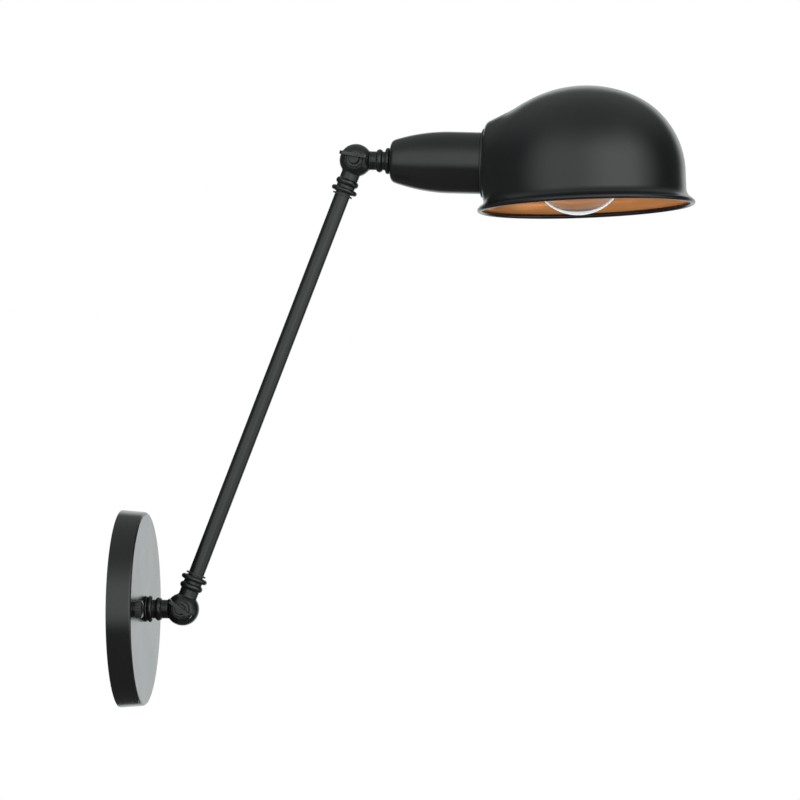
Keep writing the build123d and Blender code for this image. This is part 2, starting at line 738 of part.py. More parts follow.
def boss(inset, floor):
    """The collar as a solid cone that widens into the dome, cut off at a floor above the rim's plane."""
    slope = sin(radians(boss_half_angle)) / cos(radians(boss_half_angle))
    face = boss_face + inset
    radius = boss_face_radius + inset * slope - inset / cos(radians(boss_half_angle))
    with BuildPart() as solid:
        with BuildSketch(head_seat):
            with BuildLine():
                Polyline((face, 0), (face, radius), (face + boss_length, radius + boss_length * slope),
                         (face + boss_length, 0), close=True)
            make_face()
        revolve(axis=long_axis(head_seat))
        rounds = solid.edges().filter_by(GeomType.CIRCLE).sort_by(long_axis(head_seat))
        fillet(rounds[0], max(boss_edge - inset, 0.3))
        foot = rim_centre + shade_plane.y_dir * floor
        split(bisect_by=Plane(origin=foot, x_dir=shade_plane.x_dir, z_dir=shade_plane.y_dir), keep=Keep.TOP)
    return solid.part


flare_centre = shade_radius + flare_radius
flare_low = flare_start - sqrt(flare_radius ** 2 - (flare_centre - rim_radius) ** 2)
inner_flare = flare_radius + shade_wall
inner_low = flare_start - sqrt(inner_flare ** 2 - (flare_centre - rim_radius) ** 2)
turn = radians(45)
flare_middle = (flare_centre - flare_radius * cos(turn), flare_start - flare_radius * sin(turn))
inner_middle = (flare_centre - inner_flare * cos(turn), flare_start - inner_flare * sin(turn))
shade_hollow = (dome(shade_wall, -boss_floor), boss(shade_wall, boss_inner_floor))
dome_solid = dome(0, flare_start)
boss_solid = boss(0, boss_floor)
with BuildPart() as shade:
    add(dome_solid)
    add(boss_solid)
    for hollow in shade_hollow:
        add(hollow, mode=Mode.SUBTRACT)
    with BuildSketch(shade_plane):
        with BuildLine():
            ThreePointArc((shade_radius, flare_start), flare_middle, (rim_radius, flare_low))
            Line((rim_radius, flare_low), (rim_radius, inner_low))
            ThreePointArc((rim_radius, inner_low), inner_middle, (shade_radius - shade_wall, flare_start))
            Line((shade_radius - shade_wall, flare_start), (shade_radius, flare_start))
        make_face()
    revolve(axis=shade_axis)
    with BuildSketch(shade_plane):
        with Locations((rim_radius, 0)):
            Circle(rim_bead)
    revolve(axis=shade_axis)
    with BuildSketch(cross_plane(head_seat, boss_face - 1)):
        Circle(skirt_hole)
    extrude(amount=shade_wall + 2, mode=Mode.SUBTRACT)
keep(shade.part, "shade")

# Bulb: glass, cap, insulator, contact, mount, wires and filament
neck_curve = (bulb_centre - bulb_neck_start) ** 2 + bulb_neck_radius ** 2 - bulb_radius ** 2
neck_curve = neck_curve / (2 * (bulb_radius - bulb_neck_radius))
glass_start = tip_of_bulb + cap_length - 2


def glass(inset):
    """The glass as a solid at an inset: a straight neck, a hollow curve and a ball."""
    curve = neck_curve + inset
    ball = bulb_radius - inset
    neck = bulb_neck_radius - inset
    curve_centre = Vector(bulb_neck_start, bulb_neck_radius + neck_curve)
    centre = Vector(bulb_centre, 0)
    toward = (curve_centre - centre).normalized()
    join = centre + toward * ball
    low = Vector(bulb_neck_start, neck)
    halfway = ((low - curve_centre).normalized() + (join - curve_centre).normalized()).normalized()
    front = (toward + Vector(1, 0)).normalized()
    with BuildPart() as solid:
        with BuildSketch(head_seat):
            with BuildLine():
                Polyline((glass_start, 0), (glass_start, neck), (low.X, low.Y))
                ThreePointArc((low.X, low.Y), tuple(curve_centre + halfway * curve)[:2], (join.X, join.Y))
                ThreePointArc((join.X, join.Y), tuple(centre + front * ball)[:2], (bulb_centre + ball, 0))
                Line((bulb_centre + ball, 0), (glass_start, 0))
            make_face()
        revolve(axis=long_axis(head_seat))
    return solid.part


glass_outside = glass(0)
glass_inside = glass(bulb_glass_wall)
with BuildPart() as bulb_glass:
    add(glass_outside)
    add(glass_inside, mode=Mode.SUBTRACT)
keep(bulb_glass.part, "bulb_glass")

cap_start = tip_of_bulb + contact_height + insulator_height
cap_end = tip_of_bulb + cap_length + 2.5
cap_inner = cap_radius - cap_wall
cap_foot = insulator_radius - cap_wall
cap_bend = cap_start + 1.6
contact_end = tip_of_bulb + contact_height
keep(turned(head_seat, (cap_start, cap_foot), (cap_start, insulator_radius), (cap_bend, cap_radius),
            (cap_end, cap_radius), (cap_end, cap_inner), (cap_bend + cap_wall, cap_inner),
            (cap_start + cap_wall, cap_foot)), "bulb_cap")
keep(turned(head_seat, (contact_end, 0), (contact_end, contact_radius), (cap_start, cap_foot - fit),
            (cap_start, 0)), "bulb_insulator")
keep(turned(head_seat, (tip_of_bulb, 0), (tip_of_bulb, contact_radius - 1.2),
            (tip_of_bulb + 0.6, contact_radius), (contact_end, contact_radius), (contact_end, 0)),
     "bulb_contact")
mount_foot = bulb_neck_radius - bulb_glass_wall - fit
mount_end = glass_start + mount_height
keep(turned(head_seat, (glass_start, 0), (glass_start, mount_foot), (glass_start + 1, mount_foot),
            (glass_start + 8, mount_radius + 1.4), (mount_end - 8, mount_radius), (mount_end, mount_radius),
            (mount_end + 1, mount_radius - 1), (mount_end + 1, 0)), "bulb_mount")


def head_point(along, aside, across=0.0):
    """A point of the head, along its axis, aside in the arm's plane and across it."""
    return head_seat.origin + head_seat.x_dir * along + head_seat.y_dir * aside + head_seat.z_dir * across


wire_foot = mount_end - 3
with BuildPart() as bulb_wires:
    for side in (-1, 1):
        foot = head_point(wire_foot, 0, side * (mount_radius + wire_radius + fit))
        knee = head_point(mount_end + 4, 0, side * (mount_radius + 1.5))
        tip = head_point(filament_height, 0, side * filament_half_span)
        with BuildLine():
            run = FilletPolyline(foot, knee, tip, radius=2)
        with BuildSketch(Plane(origin=foot, z_dir=knee - foot)):
            Circle(wire_radius)
        sweep(path=run)
keep(bulb_wires.part, "bulb_wires")

filament_reach = filament_height + filament_radius + wire_radius
with BuildPart() as bulb_filament:
    ends = [head_point(filament_reach, 0, side * filament_half_span) for side in (-1, 1)]
    with BuildLine():
        arc = ThreePointArc(ends[0], head_point(filament_reach + filament_rise, 0), ends[1])
    with BuildSketch(Plane(origin=arc @ 0, z_dir=arc % 0)):
        Circle(filament_radius)
    sweep(path=arc)
keep(bulb_filament.part, "bulb_filament")
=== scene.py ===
from math import cos, pi, radians, sin, tan

import bpy
import numpy as np
from mathutils import Matrix, Vector


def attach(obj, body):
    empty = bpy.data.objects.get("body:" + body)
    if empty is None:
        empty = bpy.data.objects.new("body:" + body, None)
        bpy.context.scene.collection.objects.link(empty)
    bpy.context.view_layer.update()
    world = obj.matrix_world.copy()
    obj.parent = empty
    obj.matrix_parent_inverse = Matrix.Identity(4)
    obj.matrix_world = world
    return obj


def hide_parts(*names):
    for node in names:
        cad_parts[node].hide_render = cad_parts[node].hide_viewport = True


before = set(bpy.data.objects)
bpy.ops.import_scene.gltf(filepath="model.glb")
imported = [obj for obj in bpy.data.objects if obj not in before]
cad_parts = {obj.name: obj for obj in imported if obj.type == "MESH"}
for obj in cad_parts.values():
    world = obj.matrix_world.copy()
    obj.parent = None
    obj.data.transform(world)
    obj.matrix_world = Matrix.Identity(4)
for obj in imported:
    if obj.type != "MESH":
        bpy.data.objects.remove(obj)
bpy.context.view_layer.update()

# Camera: it stands 2.6 m off the arm's near side, a little below the arm's middle, and looks along the
# wall. The long lens and the small turn, tilt and roll give the photograph's frame.
camera_place = (0.439647, -2.641949, 0.015467)
yaw = radians(-5.8480)
pitch = radians(2.4164)
roll = radians(-0.4116)
focal_pixels = 4389.2
picture_pixels = 800
sensor_width = 36
forward = Vector((sin(yaw) * cos(pitch), cos(yaw) * cos(pitch), sin(pitch)))
level = Vector((cos(yaw), -sin(yaw), 0))
upright = level.cross(forward)
right = level * cos(roll) - upright * sin(roll)
up = level * sin(roll) + upright * cos(roll)
camera = bpy.data.objects.new("camera", bpy.data.cameras.new("camera"))
camera.data.sensor_width = sensor_width
camera.data.lens = sensor_width * focal_pixels / picture_pixels
camera.data.clip_end = 60
camera.matrix_world = (Matrix.Translation(camera_place)
                       @ Matrix((right, up, -forward)).transposed().to_4x4())
bpy.context.scene.collection.objects.link(camera)
bpy.context.scene.camera = camera
bpy.context.scene.view_settings.view_transform = "Standard"


# Studio: a white screen behind the lamp, a broad soft light from the front with its brightest part to the
# right, low lights at both sides, and dark between them, which draws the black paint's edges. The background
# is white to the camera and through glass.
class Value:
    """A socket in shader maths: each operator adds its Math node."""

    def __init__(self, finish, socket):
        self.finish = finish
        self.socket = socket

    def math(self, operation, *others):
        """A Math node on this value and others."""
        return self.finish.node("ShaderNodeMath", {"operation": operation}, [self, *others])

    def __add__(self, other):
        return self.math("ADD", other)

    def __sub__(self, other):
        return self.math("SUBTRACT", other)

    def __rsub__(self, other):
        return self.finish.node("ShaderNodeMath", {"operation": "SUBTRACT"}, [other, self])

    def __mul__(self, other):
        return self.math("MULTIPLY", other)

    __radd__ = __add__
    __rmul__ = __mul__

    def smooth(self, start, end, low=0.0, high=1.0):
        """Goes smoothly from low to high as this value goes from start to end."""
        return self.finish.node("ShaderNodeMapRange", {"interpolation_type": "SMOOTHSTEP"}, {
            "Value": self, "From Min": start, "From Max": end, "To Min": low, "To Max": high})


class Finish:
    """The node tree of a material or of the world, with one method that adds any node."""

    def __init__(self, owner, output="ShaderNodeOutputMaterial"):
        owner.use_nodes = True
        self.owner = owner
        self.tree = owner.node_tree
        self.tree.nodes.clear()
        self.end = self.tree.nodes.new(output)

    def node(self, kind, settings=None, inputs=(), output=0):
        """Adds a node: its settings, then its inputs by number or name. Gives one of its outputs."""
        node = self.tree.nodes.new(kind)
        for name, setting in (settings or {}).items():
            setattr(node, name, setting)
        for key, value in (inputs.items() if isinstance(inputs, dict) else enumerate(inputs)):
            if isinstance(value, Value):
                self.tree.links.new(value.socket, node.inputs[key])
            else:
                node.inputs[key].default_value = value
        return Value(self, node.outputs[output])

    def place(self):
        """The object's own coordinates, in metres."""
        return self.node("ShaderNodeTexCoord", {}, (), "Object")

    def ray(self, kind):
        """1 for rays of a kind, such as Is Camera Ray."""
        return self.node("ShaderNodeLightPath", {}, (), kind)

    def seen(self):
        """1 for the rays that show a background: the camera's own, and those that went through glass."""
        return self.ray("Is Camera Ray").math("MAXIMUM", self.ray("Is Transmission Ray"))

    def part(self, vector, axis):
        """How far a vector goes along an axis, which is numbers or a second vector."""
        axis = axis if isinstance(axis, Value) else tuple(axis)
        return self.node("ShaderNodeVectorMath", {"operation": "DOT_PRODUCT"}, [vector, axis], "Value")

    def noise(self, place, size, detail=2.0):
        """Noise from 0 to 1 with spots of a size in metres."""
        return self.node("ShaderNodeTexNoise", {}, {"Vector": place, "Scale": 1 / size, "Detail": detail})

    def rings(self, distance, size):
        """Noise that changes only with a distance in metres, for turned and spun marks."""
        return self.node("ShaderNodeTexNoise", {"noise_dimensions": "1D"},
                         {"W": distance, "Scale": 1 / size, "Detail": 2.0})

    def mix(self, factor, first, second):
        """A mix of two colours."""
        return self.node("ShaderNodeMix", {"data_type": "RGBA"}, {0: factor, 6: first, 7: second}, 2)

    def bump(self, height, depth, normal=None):
        """A bump by a height from 0 to 1, depth metres deep, over a normal."""
        inputs = {"Strength": 1.0, "Distance": depth, "Height": height}
        if normal is not None:
            inputs["Normal"] = normal
        return self.node("ShaderNodeBump", {}, inputs)

    def surface(self, **inputs):
        """The main shader, its inputs named with _ for a space."""
        named = {name.replace("_", " "): value for name, value in inputs.items()}
        return self.node("ShaderNodeBsdfPrincipled", {}, named)

    def close(self, shader):
        """Sends a shader to the output, and gives the material or world."""
        self.tree.links.new(shader.socket, self.end.inputs["Surface"])
        return self.owner


white = (1, 1, 1, 1)
cool_white = (0.95, 1.0, 0.995, 1)
front_reflected, key_reflected, screen_reflected = 1.1, 0.8, 1.12
ceiling_reflected, low_right_reflected, dark_reflected = 0.35, 0.7, 0.05
front_lit, even_lit, low_left_lit = 0.5, 0.5, 2.4

studio = Finish(bpy.data.worlds.new("studio"), "ShaderNodeOutputWorld")
direction = studio.node("ShaderNodeTexCoord", {}, (), "Generated")
aside = studio.part(direction, (1, 0, 0))
nearer = studio.part(direction, (0, -1, 0))
height = studio.part(direction, (0, 0, 1))
bearing = aside.math("ARCTAN2", nearer)


def panel(left, left_full, right_full, right):
    """A soft-edged light between two bearings in degrees, full between the two inner ones."""
    rising = bearing.smooth(radians(left), radians(left_full))
    return rising * bearing.smooth(radians(right), radians(right_full))


tall = height.smooth(0.92, 0.35) * height.smooth(-0.48, -0.08)
front = panel(-82, -34, 64, 104) * tall
key = panel(-10, 34, 54, 80) * tall
low_right = panel(50, 75, 95, 125) * height.smooth(0.0, -0.2)
low_left = panel(-95, -60, -35, 0) * height.smooth(0.0, -0.12)
screen = nearer.smooth(-0.78, -0.9)
ceiling = height.smooth(0.3, 0.9)
reflected = front * front_reflected + key * key_reflected + screen * screen_reflected
reflected = reflected + ceiling * ceiling_reflected + low_right * low_right_reflected + dark_reflected
lit = front * front_lit + even_lit + low_left * low_left_lit
strength = lit + (reflected - lit) * studio.ray("Is Glossy Ray")
strength = strength + (1 - strength) * studio.seen()
tint = studio.mix(studio.ray("Is Glossy Ray"), white, cool_white)
bpy.context.scene.world = studio.close(
    studio.node("ShaderNodeBackground", {}, {"Color": tint, "Strength": strength}))


# Floor: a plain pale sheet well below the lamp, which hangs on a wall. It is near white to the camera and
# in glass, all white at its edge, and keeps the lamp's soft shadow. The paint shows it darker, because the
# photograph shows the paint's underside dark.
floor_height = -0.62
floor_half = 1.1
floor_tone = (0.85, 0.85, 0.85, 1)
floor_in_paint = (0.15, 0.15, 0.15, 1)
white_from, all_white = 0.5, 1.08
whiteness = 0.6
floor_corners = [(x * floor_half, y * floor_half, floor_height)
                 for x, y in ((-1, -1), (1, -1), (1, 1), (-1, 1))]
floor_mesh = bpy.data.meshes.new("floor")
floor_mesh.from_pydata(floor_corners, [], [(0, 1, 2, 3)])
floor = bpy.data.objects.new("floor", floor_mesh)
bpy.context.scene.collection.objects.link(floor)
paper = Finish(bpy.data.materials.new("pale_floor"))
tone = paper.mix(paper.ray("Is Glossy Ray"), floor_tone, floor_in_paint)
across_floor = paper.node("ShaderNodeVectorMath", {"operation": "MULTIPLY"}, [paper.place(), (1, 1, 0)])
reach = paper.node("ShaderNodeVectorMath", {"operation": "LENGTH"}, [across_floor], "Value")
floor_mesh.materials.append(paper.close(paper.node("ShaderNodeMixShader", {}, [
    paper.seen() * reach.smooth(white_from, all_white, whiteness, 1.0),
    paper.node("ShaderNodeBsdfDiffuse", {}, {"Color": tone}),
    paper.node("ShaderNodeEmission", {}, {"Color": white, "Strength": 1.0})])))


# Crossbar, studs and small steel: strap and washers stamped from sheet, studs and nuts turned, all zinc
# plated. The plating is matt grey-white with cloudy patches and tiny crystals, and shows the fine lines of
# the rolled or turned steel.
def dress(material, *pieces):
    """Gives carried-over pieces their material."""
    for piece in pieces:
        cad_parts[piece].data.materials.clear()
        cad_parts[piece].data.materials.append(material)


zinc_dull = (0.60, 0.60, 0.57, 1)
zinc_bright = (0.74, 0.75, 0.75, 1)
zinc_cloud, zinc_line, zinc_relief = 0.009, 0.00025, 0.000012
crystals_per_metre = 900.0
across_rolling = (0, 0.5, 0.87)
zinc = Finish(bpy.data.materials.new("zinc_plate"))
place = zinc.place()
clouds = zinc.noise(place, zinc_cloud, 4.0)
crystals = zinc.node("ShaderNodeTexVoronoi", {}, {"Vector": place, "Scale": crystals_per_metre}, "Color")
grain = zinc.part(crystals, (0.33, 0.33, 0.33))
lines = zinc.rings(zinc.part(place, across_rolling), zinc_line)
zinc_plate = zinc.close(zinc.surface(
    Base_Color=zinc.mix(clouds.smooth(0.35, 0.65), zinc_dull, zinc_bright), Metallic=1.0,
    Roughness=clouds * 0.22 + grain * 0.08 + 0.2, Normal=zinc.bump(lines + grain * 0.6, zinc_relief)))
dress(zinc_plate, "crossbar", "canopy_studs", "stem_washer", "stem_nut", "stem_nipple", "head_nipple",
      "cup_nut", "earth_washer")


# Brass: terminal and earth screws, the lamp holder's contact, and the friction washers between the half
# balls. Turned or stamped and left plain, so it is bright with a warm, uneven film.
brass_bright = (0.80, 0.60, 0.28, 1)
brass_brown = (0.58, 0.36, 0.13, 1)
film_size, brass_line, brass_relief = 0.004, 0.0002, 0.00001
across_turning = (0.6, 0.5, 0.62)
brass = Finish(bpy.data.materials.new("plain_brass"))
place = brass.place()
film = brass.noise(place, film_size, 4.0)
lines = brass.rings(brass.part(place, across_turning), brass_line)
plain_brass = brass.close(brass.surface(
    Base_Color=brass.mix(film.smooth(0.4, 0.75), brass_bright, brass_brown), Metallic=1.0,
    Roughness=film * 0.25 + 0.14, Normal=brass.bump(lines, brass_relief)))
dress(plain_brass, "terminal_screws", "block_screw", "earth_screw", "holder_contact", "holder_terminals",
      "holder_screws", "lower_friction_washer", "upper_friction_washer")


# Terminal block: moulded off-white plastic, held on the crossbar by one screw. Its skin is finely eroded
# and a little translucent, with faint flow marks.
block_shade = (0.80, 0.78, 0.71, 1)
block_light = (0.87, 0.86, 0.82, 1)
flow_size, block_skin, block_relief = 0.006, 0.00022, 0.00001
block = Finish(bpy.data.materials.new("moulded_white"))
place = block.place()
flow = block.noise(place, flow_size, 3.0)
skin = block.noise(place, block_skin, 2.0)
moulded_white = block.close(block.surface(
    Base_Color=block.mix(flow, block_shade, block_light), Roughness=skin * 0.12 + 0.36,
    Subsurface_Weight=0.15, Subsurface_Scale=0.001, Normal=block.bump(skin, block_relief)))
dress(moulded_white, "terminal_block")


# Leads: stranded copper in smooth dark sleeves, from the block through the nipple, arm and head. The sleeve
# has a dull sheen, a slight waviness over its strands, and chalky rub marks.
sleeve_dark = (0.028, 0.028, 0.031, 1)
sleeve_chalk = (0.075, 0.075, 0.078, 1)
rub_size, strand_size, sleeve_relief = 0.0018, 0.0007, 0.00004
sleeve = Finish(bpy.data.materials.new("lead_sleeve"))
place = sleeve.place()
rub = sleeve.noise(place, rub_size, 4.0)
strands = sleeve.noise(place, strand_size, 1.0)
lead_sleeve = sleeve.close(sleeve.surface(
    Base_Color=sleeve.mix(rub.smooth(0.55, 0.8), sleeve_dark, sleeve_chalk),
    Roughness=rub * 0.2 + 0.38, Normal=sleeve.bump(strands, sleeve_relief)))
dress(lead_sleeve, "supply_leads", "arm_leads", "head_leads")


# Wall plate and cup: a pan pressed from sheet and a cup spun from it, sprayed satin black. The coat has a
# faint orange peel, some grains of dust, and a gloss that drifts a little.
paint_dark = (0.0095, 0.0100, 0.0108, 1)
paint_light = (0.0130, 0.0132, 0.0138, 1)
dust_grey = (0.09, 0.09, 0.09, 1)
# Paler grey for sharp edges: partly thinner paint, partly a painted highlight
thin_paint_and_highlight_grey = (0.075, 0.078, 0.08, 1)
drift_size, dust_size, paint_relief = 0.026, 0.0005, 0.000012


def black_paint(name, peel_size, dullness, edge=0.0):
    """The black coat: the size of its orange peel, its lowest roughness, and how far it rounds edges, where
    it is also a little paler, partly as thinner paint and partly as a painted highlight."""
    coat = Finish(bpy.data.materials.new(name))
    place = coat.place()
    drift = coat.noise(place, drift_size, 3.0)
    peel = coat.noise(place, peel_size, 2.0)
    dust = coat.noise(place, dust_size, 1.0).smooth(0.72, 0.80)
    colour = coat.mix(drift, paint_dark, paint_light)
    rounded = None
    if edge:
        rounded = coat.node("ShaderNodeBevel", {"samples": 4}, {"Radius": edge})
        turn = coat.part(rounded, coat.node("ShaderNodeNewGeometry", {}, (), "Normal"))
        # Sharp edges are mixed towards a paler grey: partly thinner paint, partly a painted highlight along
        # them
        colour = coat.mix(turn.smooth(0.995, 0.93), colour, thin_paint_and_highlight_grey)
    return coat.close(coat.surface(
        Base_Color=coat.mix(dust * 0.3, colour, dust_grey),
        Roughness=drift * 0.08 + dust * 0.2 + dullness, IOR=1.53,
        Normal=coat.bump(peel + dust * 0.5, paint_relief, rounded)))


dress(black_paint("pressed_black", 0.0016, 0.18), "wall_plate", "socket_cup")


# Cast black: the half-ball knuckles, wing screws, flange, rings and knurled nuts, die cast or turned and
# sprayed. The paint is a little heavier, lies over a slightly uneven casting, and rounds the sharp edges.
cast_black = black_paint("cast_black", 0.0011, 0.2, 0.0004)
dress(cast_black, "canopy_nuts", "stem_knuckle", "stem_flange", "arm_lower_knuckle", "arm_upper_knuckle",
      "arm_lower_collar", "arm_upper_collar", "lower_wing_screw", "upper_wing_screw", "head_knuckle",
      "shade_ring")


# Arm tube: drawn steel tube between the necks of the arm's two half balls, sprayed satin black. Its coat
# is a little duller than the castings' and shows a coarser orange peel.
dress(black_paint("tube_black", 0.0013, 0.22), "arm_tube")


# Lamp holder: cap, core, skirt and ring nut moulded in black plastic. It is glossier than the paint,
# faintly mottled from the mould, with a fine eroded skin.
plastic_dark = (0.012, 0.012, 0.013, 1)
plastic_light = (0.030, 0.028, 0.027, 1)
mottle_size, plastic_skin, plastic_relief = 0.005, 0.00025, 0.000012
plastic = Finish(bpy.data.materials.new("moulded_black"))
place = plastic.place()
flow = plastic.noise(place, mottle_size, 4.0)
skin = plastic.noise(place, plastic_skin, 2.0)
moulded_black = plastic.close(plastic.surface(
    Base_Color=plastic.mix(flow, plastic_dark, plastic_light),
    Roughness=flow * 0.15 + skin * 0.1 + 0.25, IOR=1.55, Normal=plastic.bump(skin, plastic_relief)))
dress(moulded_black, "holder_cap", "holder_core", "holder_skirt", "ring_nut")


# Shade: a dome spun from sheet with a side collar drawn out of it, black outside and round its rolled rim,
# and copper-coloured inside, where the coat keeps the fine rings of the spinning. The collar runs into the
# dome without an edge. The ring nut clamps its face against the ring on the lamp holder.
head_tilt = radians(-1.5)
head_axis = Vector((cos(head_tilt), 0, sin(head_tilt)))
rim_centre = Vector((0.2813055, 0, 0.2449696))
shade_tilt = radians(2.5)
shade_ahead = Vector((cos(shade_tilt), 0, sin(shade_tilt)))
shade_up = Vector((-sin(shade_tilt), 0, cos(shade_tilt)))
head_lean = shade_tilt - head_tilt

# Dome, in millimetres out of its own axis and up from the rim: wall, shoulder, crown, flare and rolled rim
shade_radius, shade_wall = 60.8, 1.1
shoulder_out, shoulder_rise, shoulder_radius = 8.8, 19.0, 52.0
crown_rise, crown_radius = -0.4, 73.3
flare_start, flare_radius = 8.0, 6.6
bead_out, bead_radius = 64.4, 1.5

# Collar, in millimetres along and out of the head's axis: its face, the face's edge, its cone's lowest and
# farthest reach, and the rim's centre. It melts into the dome more widely at its sides than at its top.
face_along, face_radius, face_edge = 78.3, 24.3, 2.6
collar_floor, collar_fades, fade_rate = 3.2, 100.0, 0.03
rim_along, rim_below = 140.9, 24.6
collar_angle = radians(27.6)
melt_at_top, melt_more_at_sides = 1.6, 6.5
hole_radius, hole_side = 19.4, -50

# Skin: rows from the top down, fine columns on the collar's side, and how low both skins reach to the rim
outside_rows, inside_rows, bead_rows = 130, 50, 26
collar_columns, other_columns = 240, 120
collar_from, collar_to = radians(115), radians(245)
outside_reach, inside_reach = 2.15, 1.35
bead_from, bead_to = radians(62), radians(-237)
millimetre = 0.001


def beside_head(ahead, rise):
    """Distances along and beside the head's axis from distances ahead and up of the rim's centre."""
    from_axis = ahead - rim_below * sin(head_lean)
    above = rise - rim_below * cos(head_lean)
    along = from_axis * cos(head_lean) - above * sin(head_lean) + rim_along
    return along, from_axis * sin(head_lean) + above * cos(head_lean)


def shade_distance(ahead, across, rise):
    """How far points lie outside the dome and collar as one rounded body. The dome is a flare, a straight
    wall, a shoulder circle and a crown circle, turned. The collar is a cone about the head's axis with a
    rounded face. Both distances are joined by a smooth minimum."""
    out = np.hypot(ahead, across)
    shoulder = np.hypot(out - shoulder_out, rise - shoulder_rise) - shoulder_radius
    dome = np.where(rise < shoulder_rise, out - shade_radius, shoulder)
    flare = flare_radius - np.hypot(out - shade_radius - flare_radius, rise - flare_start)
    dome = np.where(rise < flare_start, flare, dome)
    on_crown = out * (shoulder_rise - crown_rise) < (rise - crown_rise) * shoulder_out
    dome = np.where(on_crown, np.hypot(out, rise - crown_rise) - crown_radius, dome)
    along, beside = beside_head(ahead, rise)
    spread = np.hypot(beside, across)
    cone = face_radius + (along - face_along) * tan(collar_angle)
    side = (spread - cone) * cos(collar_angle) + face_edge
    face = face_along - along + face_edge
    corner = np.hypot(np.maximum(side, 0), np.maximum(face, 0))
    collar = np.minimum(np.maximum(side, face), 0) + corner - face_edge
    fading = fade_rate * np.maximum(along - collar_fades, 0) ** 2
    collar = np.maximum(collar, collar_floor - rise) + fading
    width = melt_at_top + melt_more_at_sides * (across / np.maximum(spread, 1)) ** 2
    close = np.maximum(width - np.abs(dome - collar), 0) / width
    return np.minimum(dome, collar) - width * close ** 2 / 4


def shade_rows(out, rise, angle, depth):
    """Rows of points and their directions at a depth under the body's surface. Each point is found on a
    level or rising line out of the dome's axis by halving the stretch that holds the surface."""
    nearest, farthest, halvings, step = 30.0, 100.0, 36, 0.02
    start = np.minimum(rise, shoulder_rise)
    length = np.hypot(out, rise - start)
    lean = np.stack([out / length, (rise - start) / length])[..., None]

    def line_points(reach):
        return (lean[0] * reach * np.cos(angle), lean[0] * reach * np.sin(angle),
                start[:, None] + lean[1] * reach)

    low = np.full((len(out), angle.size), nearest)
    high = np.full((len(out), angle.size), farthest)
    for halving in range(halvings):
        middle = (low + high) / 2
        inner = shade_distance(*line_points(middle)) < -depth
        low = np.where(inner, middle, low)
        high = np.where(inner, high, middle)
    points = np.stack(line_points(low))
    slopes = np.stack([shade_distance(*(points + move)) - shade_distance(*(points - move))
                       for move in step * np.eye(3)[:, :, None, None]])
    return points, slopes / np.linalg.norm(slopes, axis=0)


def dome_profile(rows, reach):
    """Distances out and up of the outside's profile, from the top down: even turns about the shoulder's
    level to the crown or shoulder circle, then even steps down the wall and the flare."""
    turn = np.linspace(radians(90), 0, rows + 1)[1:]
    out, rise = np.cos(turn), np.sin(turn)
    drop = shoulder_rise - crown_rise
    crown = -rise * drop
    crown = crown + np.sqrt(crown ** 2 - drop ** 2 + crown_radius ** 2)
    shoulder = out * shoulder_out
    shoulder = shoulder + np.sqrt(shoulder ** 2 - shoulder_out ** 2 + shoulder_radius ** 2)
    on_crown = out * crown * drop < (rise * crown + drop) * shoulder_out
    length = np.where(on_crown, crown, shoulder)
    below = np.linspace(shoulder_rise, reach, rows // 5 + 1)[1:]
    flare = np.sqrt(np.maximum(flare_radius ** 2 - np.minimum(below - flare_start, 0) ** 2, 0))
    return (np.concatenate([out * length, shade_radius + flare_radius - flare]),
            np.concatenate([rise * length + shoulder_rise, below]))


def spun_shade():
    """The outside from the top down, the bead round its own circle, and the inside back up, as one closed
    skin with its directions. The faces inside the lamp holder's hole are left out. Faces are numbered 0 for
    the black coat and 1 for the copper one."""
    angle = np.concatenate([
        np.linspace(collar_from, collar_to, collar_columns, endpoint=False),
        np.linspace(collar_to, collar_from + 2 * pi, other_columns, endpoint=False)])[None, :]
    outside, outside_way = shade_rows(*dome_profile(outside_rows, outside_reach), angle, 0.0)
    inside, inside_way = shade_rows(*dome_profile(inside_rows, inside_reach), angle, shade_wall)
    bead = np.linspace(bead_from, bead_to, bead_rows)[:, None]
    bead_way = np.stack([np.cos(bead) * np.cos(angle), np.cos(bead) * np.sin(angle),
                         np.sin(bead) + 0 * angle])
    bead_circle = np.stack([bead_out * np.cos(angle), bead_out * np.sin(angle), 0 * angle])
    points = np.concatenate([outside, bead_circle + bead_radius * bead_way, inside[:, ::-1]], 1)
    ways = np.concatenate([outside_way, bead_way, -inside_way[:, ::-1]], 1)
    rows, columns = points.shape[1:]
    black_rows = outside.shape[1] + bead_rows
    peak = crown_rise + crown_radius
    points = np.concatenate([points.reshape(3, -1).T, [[0, 0, peak], [0, 0, peak - shade_wall]]])
    ways = np.concatenate([ways.reshape(3, -1).T, [[0, 0, 1], [0, 0, -1]]])
    outer_peak, inner_peak = rows * columns, rows * columns + 1
    here = np.arange(rows * columns).reshape(rows, columns)
    beside = np.roll(here, -1, 1)
    quads = np.stack([here[:-1], here[1:], beside[1:], beside[:-1]], -1)
    coat = np.broadcast_to((np.arange(rows - 1) >= black_rows - 1)[:, None], quads.shape[:2])
    across_head = np.hypot(beside_head(points[:, 0], points[:, 2])[1], points[:, 1])
    in_hole = (across_head < hole_radius) & (points[:, 0] < hole_side)
    kept = ~in_hole[quads].any(-1)
    faces = quads[kept].tolist()
    faces += [[outer_peak, here[0, j], beside[0, j]] for j in range(columns)]
    faces += [[inner_peak, beside[-1, j], here[-1, j]] for j in range(columns)]
    coats = np.concatenate([coat[kept], np.zeros(columns), np.ones(columns)]).astype(int)
    used = np.unique(np.concatenate([quads[kept].ravel(), [outer_peak, inner_peak]]))
    number = np.zeros(len(points), int)
    number[used] = np.arange(len(used))
    faces = [[int(number[corner]) for corner in face] for face in faces]
    turned = np.array([shade_ahead, (0, 1, 0), shade_up])
    return np.array(rim_centre) + points[used] @ turned * millimetre, ways[used] @ turned, faces, coats


